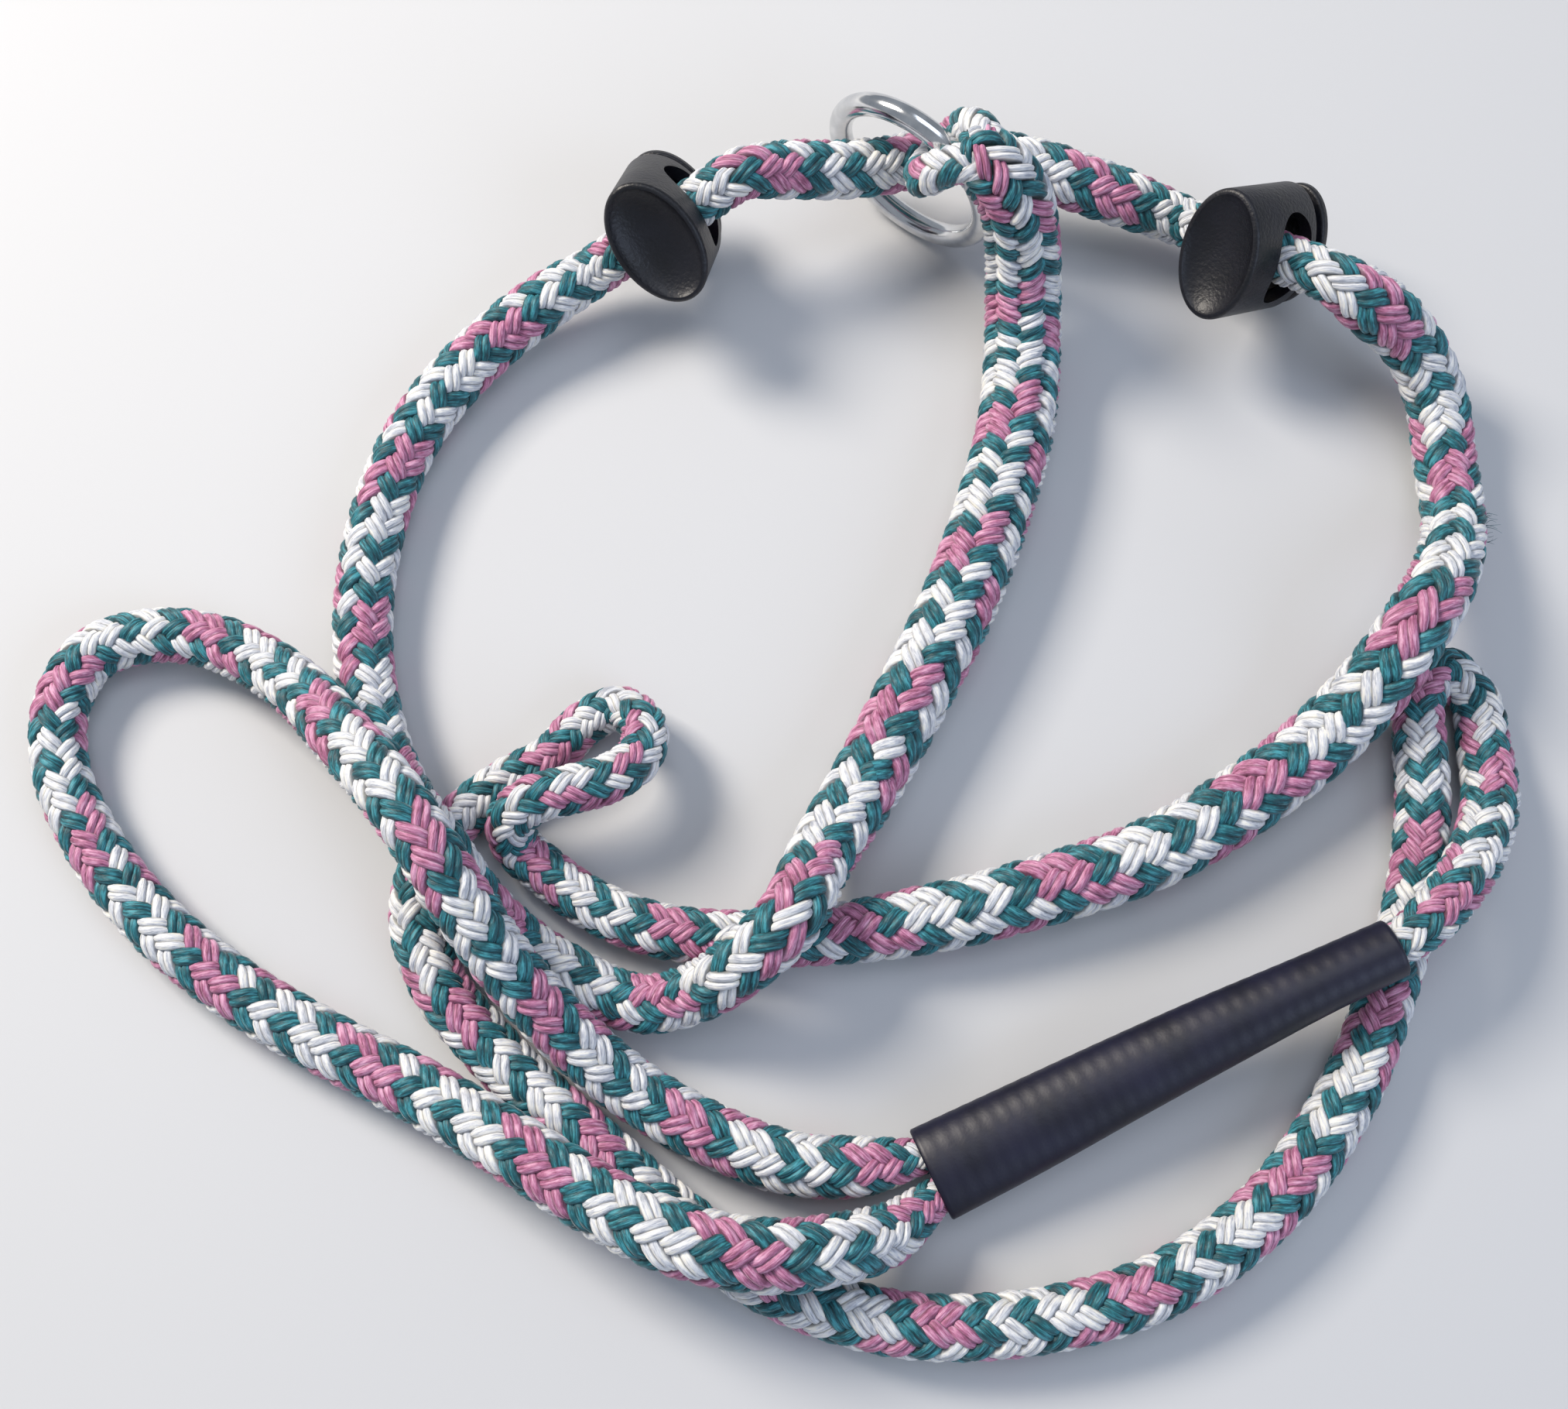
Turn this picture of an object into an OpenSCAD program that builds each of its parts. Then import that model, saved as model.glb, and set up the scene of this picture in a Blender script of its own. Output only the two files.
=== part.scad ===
// Braided lead rope with a sliding noose, a welded O-ring, two oval cord locks and a handle
// loop closed by a heat-shrink sleeve. It lies on the ground, and its units are millimetres.
// +X runs to the right, +Y away from the handle and +Z up. The origin is on the ground
// below the middle of the whole part.

/* [Rope] */
// Thickness of the rope over its nominal 10 mm, as a factor
rope_scale = 1; // [0.8:0.05:1.05]
// Number of flat sides on every rope tube
rope_sides = 10; // [8:1:12]
// Diameter of each leg of the eye that holds the ring
eye_d = 6; // [5:0.2:6.4]

/* [Ring] */
// Inside diameter of the welded ring
ring_id = 25; // [24:0.5:30]
// Diameter of the ring's wire
ring_wire = 3.8; // [3.2:0.1:4.6]

/* [Heat-shrink sleeve] */
// Wall thickness of the shrunk tube
sleeve_wall = 0.7; // [0.4:0.1:1.2]

/* [Cord locks] */
// Length of the barrel between its face and its rear edge
barrel_len = 18.5; // [18:0.5:22]
// Width of the oval barrel
barrel_w = 21; // [20:0.5:26]
// Thickness of the oval barrel, along the rope
barrel_t = 14; // [13:0.5:18]
// Wall of the barrel around the plunger
barrel_wall = 2.2; // [1.6:0.1:3]
// Depth of the hollow in the barrel's face
dish_depth = 2.2; // [1:0.1:3]
// Clearance between the plunger and the barrel, on each side
plunger_gap = 0.3; // [0.2:0.05:0.6]
// How far the plunger goes in
plunger_travel = 2.5; // [1.5:0.1:3]
// Thickness of the plunger's oval cap
cap_t = 1.8; // [1.4:0.1:3]
// Diameter of the rope where a lock squeezes it
locked_d = 8.5; // [7:0.1:8.6]
// Wire diameter of the lock's spring
spring_wire = 0.6; // [0.4:0.1:0.8]

/* [Hidden] */

// The route's points are measured from a mark on the ground, which lies here from the origin.
mark = [2.1, 1.2, 0];

// The rope's centre line, each point as x, y, z and diameter. It starts where the splice
// ends at the ring's eye and follows the one rope to its tail inside the sleeve.
splice = [
    [38, 71, 12, 12.6], [39.5, 59, 8, 13.2], [38, 45, 7, 13.2], [34, 31, 7, 13],
    [27.5, 14, 6.6, 12.8], [20.5, 0, 6.4, 12.4], [13, -14, 6.6, 12]
];
noose = [
    [6, -26, 10, 11], [0, -38, 16.5, 10.4], [-7, -44, 14, 10], [-13, -47, 8.5, 9.6],
    [-21, -48.5, 5, 9.5], [-33, -44, 5, 9.5], [-42, -38, 6.5, 9.5], [-47, -33, 11, 9.5],
    [-52, -26, 14.8, 9.6], [-58, -18, 11.8, 9.6], [-63, -9, 7, 9.7], [-67, 5, 5, 9.8],
    [-67, 25, 5, 9.8], [-60, 47, 5, 9.8], [-48, 61.5, 6, 9.8], [-39, 68, 8, 9.6],
    [-30, 73, 10, locked_d], [-8.5, 82, 22, locked_d],
    [0, 84.5, 20.5, 9.6], [8, 86, 18, 9.8], [18, 88.5, 15.5, 9.6]
];
lead_upper = [
    [27, 91, 15, 9.6], [38, 89.5, 14.5, 9.9], [55, 85, 12, 10], [68, 80, 11, locked_d],
    [86, 65, 22, locked_d], [93, 61, 20.5, 10.6], [101, 57, 15, 10.4], [106.6, 50, 9, 10.4],
    [108.3, 39, 6, 10.5], [108.3, 29, 7.2, 10.6], [104.6, 19, 12, 10.9], [98.5, 9.5, 15.3, 11.3],
    [93, 1.5, 12, 11.8], [86, -6, 7.5, 11.8], [74, -15.5, 6.2, 11.7], [58, -25, 6, 11.6],
    [39, -31.5, 6, 11.3], [20, -36, 5.6, 10.8], [6, -38, 5.2, 9.6], [-7, -38.5, 4.8, 9],
    [-20, -37, 4.6, 8.8], [-30, -33, 4.4, 8.4], [-37, -28, 4.4, 8], [-41.5, -24, 5.5, 8],
    [-42, -21, 9.5, 8], [-38.5, -18.5, 12.5, 8], [-33, -17, 13, 8], [-27, -15, 12, 8],
    [-22.5, -11, 10, 7.8]
];
lead_lower = [
    [-22, -5.5, 7.5, 7.6], [-26.5, -2, 5, 7.6], [-32, -4.5, 4.1, 7.6], [-36.5, -9.5, 4.1, 7.7],
    [-44, -14, 4.2, 8], [-51.5, -20.5, 4.3, 8.2], [-55.5, -27, 4.5, 8.8], [-56.5, -35, 4.8, 9.2],
    [-53, -45, 4.8, 9.3], [-45, -54.5, 4.8, 9.4], [-29, -69, 4.8, 9.5], [-13, -82, 4.8, 9.5],
    [-2, -89, 4.9, 9.7], [15, -94.5, 5, 9.8], [36, -94.5, 5, 9.8], [55, -89.5, 5, 9.8],
    [71, -79, 5, 9.8], [84, -63, 5, 9.7], [93, -44, 4.8, 9.2], [98, -29, 4.7, 9],
    [100.3, -15, 4.5, 8.8], [100.5, -7, 4.4, 8.6], [101.5, 0, 4.2, 8], [105.5, 4.5, 4.2, 8]
];
sleeve_entry = [
    [109.8, 0, 4.2, 8], [110.5, -8, 4.5, 8.6], [110.3, -16, 6, 9], [106.5, -25, 9.5, 9],
    [101, -32, 13, 8.8], [95.5, -37.5, 14.6, 8], [90.5, -41.2, 14.4, 6.6],
    [78, -46.8, 12.6, 6.4], [64.8, -52.4, 10.6, 6.3], [49.4, -58.7, 8.4, 6],
    [34.8, -64.4, 6.6, 5.9], [20.7, -70.9, 5.2, 5.8]
];
handle_loop = [
    [13, -72.3, 5.2, 9], [3, -72.3, 5, 9.8], [-12, -67.3, 5.2, 9.8], [-23, -61, 6.2, 9.8],
    [-31, -54.5, 9.8, 9.8], [-37, -48.5, 13.8, 9.8], [-42, -42.5, 18, 9.8],
    [-46.5, -36, 22, 9.8], [-51, -29, 24.8, 9.8], [-56, -22, 24.6, 9.9],
    [-61.5, -15.5, 21.5, 10], [-67.5, -9, 17, 10], [-74, -2, 11.5, 9.8], [-83, 5, 7, 9.6],
    [-93, 9.5, 5, 9.4], [-102.5, 10, 4.8, 9.2], [-110.5, 7, 4.8, 9.2], [-114.5, -0.5, 4.8, 9.2],
    [-114, -11, 4.8, 9.2], [-108, -23, 4.8, 9.4], [-98, -35, 4.9, 9.6], [-84, -46, 5, 9.7],
    [-70, -54, 5.3, 9.9], [-55, -61.3, 7, 10.1], [-45.5, -66.5, 9.6, 10.2],
    [-36, -72, 12.2, 10.4], [-26, -77.8, 13.8, 10.6], [-17, -82, 15.7, 10.7],
    [-8, -84.3, 15.7, 10.8], [0, -85, 14.8, 10.8], [8, -84, 12.2, 10.4],
    [15.5, -82, 7.8, 9.4], [23.3, -76.3, 5.2, 5.8]
];
tail = [[37.3, -69.7, 6.6, 5.2], [47.3, -64.8, 7.9, 3]];

// The whole rope as one list, and the index where each stretch ends.
route = concat(splice, noose, lead_upper, lead_lower, sleeve_entry, handle_loop, tail);
splice_end = len(splice) - 1;
noose_end = splice_end + len(noose);
upper_end = noose_end + len(lead_upper);
lower_end = upper_end + len(lead_lower);
entry_end = lower_end + len(sleeve_entry);
handle_end = entry_end + len(handle_loop);

// The sleeve's centre line, each point as x, y, z, width and height over its wall.
sleeve_path = [
    [90.5, -41.2, 14.4, 8.5, 8.5], [78, -46.8, 12.6, 8.5, 8.5], [65, -52.8, 10.6, 9.4, 8.5],
    [50, -60, 8.4, 11.4, 8.5], [36, -66.9, 6.6, 13.4, 8.6], [22, -73.6, 5.2, 14.2, 8.6]
];

// The ring stands upright. The eye's centre line is given along the ring's plane, out of
// its plane and up, from the ring's centre on the ground.
ring_at = [21, 86.5, 0];
ring_turn = -36.7;
ring_r = (ring_id + ring_wire) / 2;
ring_lift = 0.2;
ring_z = ring_r + ring_wire / 2 + ring_lift;
eye_path = [
    [24.6, 0.5, 12], [17, 5.8, 18], [10, 6, 24.5], [5, 5.8, 28], [1, 3.6, 26], [-1, 0, 25.2],
    [1, -3.6, 26], [5, -5.8, 28], [10, -6, 24.5], [16, -6.2, 18], [21.2, -5.1, 12]
];

// The locks. Each one is placed by its turns and by the middle of the straight rope in it.
left_turns = [33, 34, -48];
right_turns = [36, 44, -103];
left_rope = splice_end + 18;
right_rope = noose_end + 5;
slot_gap = 0.3;
slot_w = barrel_w - 6;
slot_h = locked_d + 2 * slot_gap + 0.1;
slot_z = 2;
cap_gap = plunger_travel;
rope_z = slot_z + slot_h / 2;
cavity_w = barrel_w - 2 * barrel_wall;
cavity_t = barrel_t - 2 * barrel_wall;
cavity_len = barrel_len - dish_depth - 1.2;
plunger_w = cavity_w - 2 * plunger_gap;
plunger_t = cavity_t - 2 * plunger_gap;
plunger_end = slot_z + slot_h + 1.3;
cap_w = barrel_w - 1;
cap_depth = barrel_t - 1;
spring_len = cavity_len - plunger_end;
spring_turns = 3;
dish_w = barrel_w - 2.4;
dish_r = (dish_w * dish_w / 4 + dish_depth * dish_depth) / (2 * dish_depth);
tube_facets = 48;

rope_color = [0.62, 0.72, 0.74];
steel_color = [0.78, 0.79, 0.81];
plastic_color = [0.05, 0.05, 0.06];
sleeve_color = [0.06, 0.06, 0.11];

// --- Vectors and the rope's rings ---
function unit(v) = v / norm(v);
function place(p) = [p[0], p[1], p[2]] + mark;
function ahead(points, i) = place(points[min(i + 1, len(points) - 1)]);
function behind(points, i) = place(points[max(i - 1, 0)]);
function heading(points, i) = unit(ahead(points, i) - behind(points, i));
function across(t) = unit(cross(t, [0, 0, 1]));
function oval_ring(at, t, w, h, sides) = [
    for (k = [0:sides - 1])
        at + across(t) * w / 2 * cos(360 * k / sides)
           + cross(across(t), t) * h / 2 * sin(360 * k / sides)
];
function rope_ring(points, i, scale) = oval_ring(
    place(points[i]), heading(points, i), points[i][3] * scale, points[i][3] * scale, rope_sides
);
function flat(lists) = [for (list = lists) for (item = list) item];
function tube_faces(rings, sides) = concat(
    [[for (k = [sides - 1:-1:0]) k]],
    [for (r = [0:rings - 2]) for (k = [0:sides - 1]) [
        r * sides + k, r * sides + (k + 1) % sides, (r + 1) * sides + k
    ]],
    [for (r = [0:rings - 2]) for (k = [0:sides - 1]) [
        r * sides + (k + 1) % sides, (r + 1) * sides + (k + 1) % sides, (r + 1) * sides + k
    ]],
    [[for (k = [0:sides - 1]) (rings - 1) * sides + k]]
);

module tube(rings, sides) {
    polyhedron(points = flat(rings), faces = tube_faces(len(rings), sides), convexity = 8);
}

// One stretch of the rope, between two points of its route.
module rope(first, last) {
    color(rope_color)
        tube([for (i = [first:last]) rope_ring(route, i, rope_scale)], rope_sides);
}

// --- Rope ---
module rope_splice() rope(0, splice_end);
module rope_noose() rope(splice_end, noose_end);
module rope_lead_upper() rope(noose_end, upper_end);
module rope_lead_lower() rope(upper_end, lower_end);
module rope_sleeve_entry() rope(lower_end, entry_end);
module rope_handle_loop() rope(entry_end, handle_end);
module rope_tail() rope(handle_end, len(route) - 1);

function from_ring(p) = [
    ring_at[0] + p[0] * cos(ring_turn) - p[1] * sin(ring_turn),
    ring_at[1] + p[0] * sin(ring_turn) + p[1] * cos(ring_turn),
    p[2], eye_d
];

module rope_eye() {
    points = [for (p = eye_path) from_ring(p)];
    color(rope_color)
        tube([for (i = [0:len(points) - 1]) rope_ring(points, i, 1)], rope_sides);
}

// --- Ring ---
module ring() {
    color(steel_color)
        translate(ring_at + mark + [0, 0, ring_z])
            rotate([90, 0, ring_turn])
                rotate_extrude($fn = 96)
                    translate([ring_r, 0])
                        circle(d = ring_wire, $fn = tube_facets);
}

// --- Sleeve ---
function sleeve_rings(wall, points) = [
    for (i = [0:len(points) - 1])
        oval_ring(
            place(points[i]), heading(points, i),
            points[i][3] - 2 * wall, points[i][4] - 2 * wall, 16
        )
];

// The bore runs past both ends of the tube.
function stretched(points) = [
    for (i = [0:len(points) - 1])
        i == 0 ? points[0] + (points[0] - points[1]) * 0.1
        : i == len(points) - 1 ? points[i] + (points[i] - points[i - 1]) * 0.1
        : points[i]
];

module heat_shrink_sleeve() {
    color(sleeve_color)
        difference() {
            tube(sleeve_rings(0, sleeve_path), 16);
            tube(sleeve_rings(sleeve_wall, stretched(sleeve_path)), 16);
        }
}

// --- Cord locks: built with the rope along Y and the face towards +Z ---
module lock_place(turns, rope_index) {
    middle = (place(route[rope_index - 1]) + place(route[rope_index])) / 2;
    translate(middle)
        rotate(turns)
            translate([0, 0, -rope_z])
                children();
}

module oval(w, t) {
    translate([-(w - t) / 2, 0])
        circle(d = t, $fn = tube_facets);
    translate([(w - t) / 2, 0])
        circle(d = t, $fn = tube_facets);
    square([w - t, t], center = true);
}

// A slot for the rope, with round ends, right through along Y.
module rope_slot(w, h, bottom) {
    translate([0, barrel_t, bottom + h / 2])
        rotate([90, 0, 0])
            linear_extrude(2 * barrel_t)
                oval(w, h);
}

module lock_barrel() {
    color(plastic_color)
        difference() {
            linear_extrude(barrel_len)
                oval(barrel_w, barrel_t);
            translate([0, 0, -1])
                linear_extrude(cavity_len + 1)
                    oval(cavity_w, cavity_t);
            rope_slot(slot_w, slot_h, slot_z);
            translate([0, 0, barrel_len - dish_depth + dish_r])
                sphere(r = dish_r, $fn = 96);
        }
}

module lock_plunger() {
    color(plastic_color)
        difference() {
            union() {
                translate([0, 0, -cap_gap])
                    linear_extrude(plunger_end + cap_gap)
                        oval(plunger_w, plunger_t);
                translate([0, 0, -cap_gap - cap_t])
                    linear_extrude(cap_t)
                        oval(cap_w, cap_depth);
            }
            translate([0, 0, -plunger_travel])
                rope_slot(slot_w - 2, slot_h + plunger_travel, slot_z);
        }
}

module lock_spring() {
    coil_r = cavity_t / 2 - 1.5;
    pitch = (spring_len - spring_wire - 0.2) / (spring_turns - 1);
    color(steel_color)
        for (k = [0:spring_turns - 1])
            translate([0, 0, plunger_end + 0.1 + spring_wire / 2 + k * pitch])
                rotate_extrude($fn = tube_facets)
                    translate([coil_r - 0.5 * k, 0])
                        circle(d = spring_wire, $fn = 16);
}

module left_lock_barrel() lock_place(left_turns, left_rope) lock_barrel();
module left_lock_plunger() lock_place(left_turns, left_rope) lock_plunger();
module left_lock_spring() lock_place(left_turns, left_rope) lock_spring();
module right_lock_barrel() lock_place(right_turns, right_rope) lock_barrel();
module right_lock_plunger() lock_place(right_turns, right_rope) lock_plunger();
module right_lock_spring() lock_place(right_turns, right_rope) lock_spring();

rope_eye();
rope_splice();
rope_noose();
rope_lead_upper();
rope_lead_lower();
rope_sleeve_entry();
rope_handle_loop();
rope_tail();
ring();
heat_shrink_sleeve();
left_lock_barrel();
left_lock_plunger();
left_lock_spring();
right_lock_barrel();
right_lock_plunger();
right_lock_spring();
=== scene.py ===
import bpy
import math
import numpy as np
from mathutils import Euler, Matrix, Vector


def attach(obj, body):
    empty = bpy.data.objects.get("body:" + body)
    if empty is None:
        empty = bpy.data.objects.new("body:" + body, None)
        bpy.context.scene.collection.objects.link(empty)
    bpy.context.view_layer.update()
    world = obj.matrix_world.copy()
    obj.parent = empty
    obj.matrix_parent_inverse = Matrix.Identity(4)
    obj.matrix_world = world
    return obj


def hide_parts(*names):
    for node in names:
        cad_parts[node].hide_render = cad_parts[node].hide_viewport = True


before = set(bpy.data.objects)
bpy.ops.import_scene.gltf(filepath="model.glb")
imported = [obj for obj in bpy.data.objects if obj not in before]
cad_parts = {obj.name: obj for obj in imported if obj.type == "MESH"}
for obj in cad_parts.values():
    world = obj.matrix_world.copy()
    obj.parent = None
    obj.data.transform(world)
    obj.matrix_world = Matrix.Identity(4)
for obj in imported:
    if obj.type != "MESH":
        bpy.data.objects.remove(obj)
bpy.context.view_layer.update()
print("frame loaded", len(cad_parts), "nodes")

mm = 0.001  # the frame is in metres, and the sizes below are in millimetres
mark = np.array([2.1, 1.2, 0.0])  # added to every point of the route, so that the part lies centred

camera = {"lens": 42.65, "pitch": 75.0, "distance": 300.0, "near": 10.0}


def addCamera():
    pitch = math.radians(camera["pitch"])
    back = camera["distance"] * mm
    place = (mark[0] * mm, mark[1] * mm - back * math.cos(pitch), back * math.sin(pitch))
    bpy.ops.object.camera_add(location=place, rotation=(math.radians(90) - pitch, 0, 0))
    cam = bpy.context.object
    cam.name = "mainCamera"
    cam.data.lens = camera["lens"]
    cam.data.clip_start = camera["near"] * mm
    bpy.context.scene.camera = cam


addCamera()
print("camera placed")

# The rope's route, as the solid parts have it: x, y, z and diameter at each point.
# Only the head of the splice starts higher here, closing over the eye.
lockedD = 8.5  # the rope's diameter where a lock grips it
splice = [
    (28.6, 81, 32.6, 8.6), (31.5, 78.6, 32.8, 11), (35.5, 75.5, 29.5, 12), (38.2, 72, 21, 12.6),
    (39.2, 67, 13, 13), (39.5, 59, 8, 13.2), (38, 45, 7, 13.2), (34, 31, 7, 13),
    (27.5, 14, 6.6, 12.8), (20.5, 0, 6.4, 12.4), (13, -14, 6.6, 12),
]
noose = [
    (6, -26, 10, 11), (0, -38, 16.5, 10.4), (-7, -44, 14, 10), (-13, -47, 8.5, 9.6),
    (-21, -48.5, 5, 9.5), (-33, -44, 5, 9.5), (-42, -38, 6.5, 9.5), (-47, -33, 11, 9.5),
    (-52, -26, 14.8, 9.6), (-58, -18, 11.8, 9.6), (-63, -9, 7, 9.7), (-67, 5, 5, 9.8),
    (-67, 25, 5, 9.8), (-60, 47, 5, 9.8), (-48, 61.5, 6, 9.8), (-39, 68, 8, 9.6),
    (-30, 73, 10, lockedD), (-8.5, 82, 22, lockedD),
    (0, 84.5, 20.5, 9.6), (8, 86, 18, 9.8), (18, 88.5, 15.5, 9.6),
]
leadUpper = [
    (27, 91, 15, 9.6), (38, 89.5, 14.5, 9.9), (55, 85, 12, 10), (68, 80, 11, lockedD),
    (86, 65, 22, lockedD), (93, 61, 20.5, 10.6), (101, 57, 15, 10.4), (106.6, 50, 9, 10.4),
    (108.3, 39, 6, 10.5), (108.3, 29, 7.2, 10.6), (104.6, 19, 12, 10.9), (98.5, 9.5, 15.3, 11.3),
    (93, 1.5, 12, 11.8), (86, -6, 7.5, 11.8), (74, -15.5, 6.2, 11.7), (58, -25, 6, 11.6),
    (39, -31.5, 6, 11.3), (20, -36, 5.6, 10.8), (6, -38, 5.2, 9.6), (-7, -38.5, 4.8, 9),
    (-20, -37, 4.6, 8.8), (-30, -33, 4.4, 8.4), (-37, -28, 4.4, 8), (-41.5, -24, 5.5, 8),
    (-42, -21, 9.5, 8), (-38.5, -18.5, 12.5, 8), (-33, -17, 13, 8), (-27, -15, 12, 8),
    (-22.5, -11, 10, 7.8),
]
leadLower = [
    (-22, -5.5, 7.5, 7.6), (-26.5, -2, 5, 7.6), (-32, -4.5, 4.1, 7.6), (-36.5, -9.5, 4.1, 7.7),
    (-44, -14, 4.2, 8), (-51.5, -20.5, 4.3, 8.2), (-55.5, -27, 4.5, 8.8), (-56.5, -35, 4.8, 9.2),
    (-53, -45, 4.8, 9.3), (-45, -54.5, 4.8, 9.4), (-29, -69, 4.8, 9.5), (-13, -82, 4.8, 9.5),
    (-2, -89, 4.9, 9.7), (15, -94.5, 5, 9.8), (36, -94.5, 5, 9.8), (55, -89.5, 5, 9.8),
    (71, -79, 5, 9.8), (84, -63, 5, 9.7), (93, -44, 4.8, 9.2), (98, -29, 4.7, 9),
    (100.3, -15, 4.5, 8.8), (100.5, -7, 4.4, 8.6), (101.5, 0, 4.2, 8), (105.5, 4.5, 4.2, 8),
]
sleeveEntry = [
    (109.8, 0, 4.2, 8), (110.5, -8, 4.5, 8.6), (110.3, -16, 6, 9), (106.5, -25, 9.5, 9),
    (101, -32, 13, 8.8), (95.5, -37.5, 14.6, 8), (90.5, -41.2, 14.4, 6.6),
    (78, -46.8, 12.6, 6.4), (64.8, -52.4, 10.6, 6.3), (49.4, -58.7, 8.4, 6),
    (34.8, -64.4, 6.6, 5.9), (20.7, -70.9, 5.2, 5.8),
]
handleLoop = [
    (13, -72.3, 5.2, 9), (3, -72.3, 5, 9.8), (-12, -67.3, 5.2, 9.8), (-23, -61, 6.2, 9.8),
    (-31, -54.5, 9.8, 9.8), (-37, -48.5, 13.8, 9.8), (-42, -42.5, 18, 9.8),
    (-46.5, -36, 22, 9.8), (-51, -29, 24.8, 9.8), (-56, -22, 24.6, 9.9),
    (-61.5, -15.5, 21.5, 10), (-67.5, -9, 17, 10), (-74, -2, 11.5, 9.8), (-83, 5, 7, 9.6),
    (-93, 9.5, 5, 9.4), (-102.5, 10, 4.8, 9.2), (-110.5, 7, 4.8, 9.2), (-114.5, -0.5, 4.8, 9.2),
    (-114, -11, 4.8, 9.2), (-108, -23, 4.8, 9.4), (-98, -35, 4.9, 9.6), (-84, -46, 5, 9.7),
    (-70, -54, 5.3, 9.9), (-55, -61.3, 7, 10.1), (-45.5, -66.5, 9.6, 10.2),
    (-36, -72, 12.2, 10.4), (-26, -77.8, 13.8, 10.6), (-17, -82, 15.7, 10.7),
    (-8, -84.3, 15.7, 10.8), (0, -85, 14.8, 10.8), (8, -84, 12.2, 10.4),
    (15.5, -82, 7.8, 9.4), (23.3, -76.3, 5.2, 5.8),
]
tail = [(37.3, -69.7, 6.6, 5.2), (47.3, -64.8, 7.9, 3)]
stretches = [
    ("ropeSplice", "rope_splice", splice), ("ropeNoose", "rope_noose", noose),
    ("ropeLeadUpper", "rope_lead_upper", leadUpper), ("ropeLeadLower", "rope_lead_lower", leadLower),
    ("ropeSleeveEntry", "rope_sleeve_entry", sleeveEntry),
    ("ropeHandleLoop", "rope_handle_loop", handleLoop), ("ropeTail", "rope_tail", tail),
]
# Each lock holds the rope straight between two of its points.
heldSpans = [((-30, 73), (-8.5, 82)), ((68, 80), (86, 65))]
# The eye closes over the ring's wire, with its legs side by side: along the ring, out of it, up.
eyePath = [
    (19, 1, 30.5), (14, 1.4, 33), (10.5, 2.8, 33), (7.6, 4.6, 31), (5.8, 5.2, 28), (4.4, 3.8, 25),
    (3.9, 0, 23.7),
    (4.4, -3.8, 25), (5.8, -5.2, 28), (7.6, -4.6, 31), (10.5, -2.8, 33), (14, -1.4, 33), (19, -1, 30.5),
]
eyeD = 6.8
ringTurn = math.radians(-36.7)
ringAt = (21, 86.5)


# Turns an sRGB hex colour to the linear values that the shaders use.
def linear(code):
    values = [int(code[i:i + 2], 16) / 255 for i in (1, 3, 5)]
    return tuple(v / 12.92 if v <= 0.04045 else ((v + 0.055) / 1.055) ** 2.4 for v in values) + (1,)


def addNode(tree, kind, settings=None, links=None):
    node = tree.nodes.new(kind)
    for key, value in (settings or {}).items():
        if isinstance(key, int) or key in node.inputs:
            node.inputs[key].default_value = value
        else:
            setattr(node, key, value)
    for key, source in (links or {}).items():
        tree.links.new(source, node.inputs[key])
    return node


def newMaterial(name):
    material = bpy.data.materials.new(name)
    material.use_nodes = True
    tree = material.node_tree
    tree.nodes.clear()
    shader = addNode(tree, "ShaderNodeBsdfPrincipled")
    out = addNode(tree, "ShaderNodeOutputMaterial")
    tree.links.new(shader.outputs[0], out.inputs["Surface"])
    return material, tree, shader


def ramp(tree, factor, stops):
    node = addNode(tree, "ShaderNodeValToRGB", links={"Fac": factor})
    while len(node.color_ramp.elements) < len(stops):
        node.color_ramp.elements.new(0.5)
    for element, (position, colour) in zip(node.color_ramp.elements, stops):
        element.position = position
        element.color = linear(colour)
    return node


# In a rope's UV, u runs in millimetres along the strand, and v from -1 to 1 across it, with each
# strand on a band of its own.
uvGap = 5.0  # from one band to the next


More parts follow.
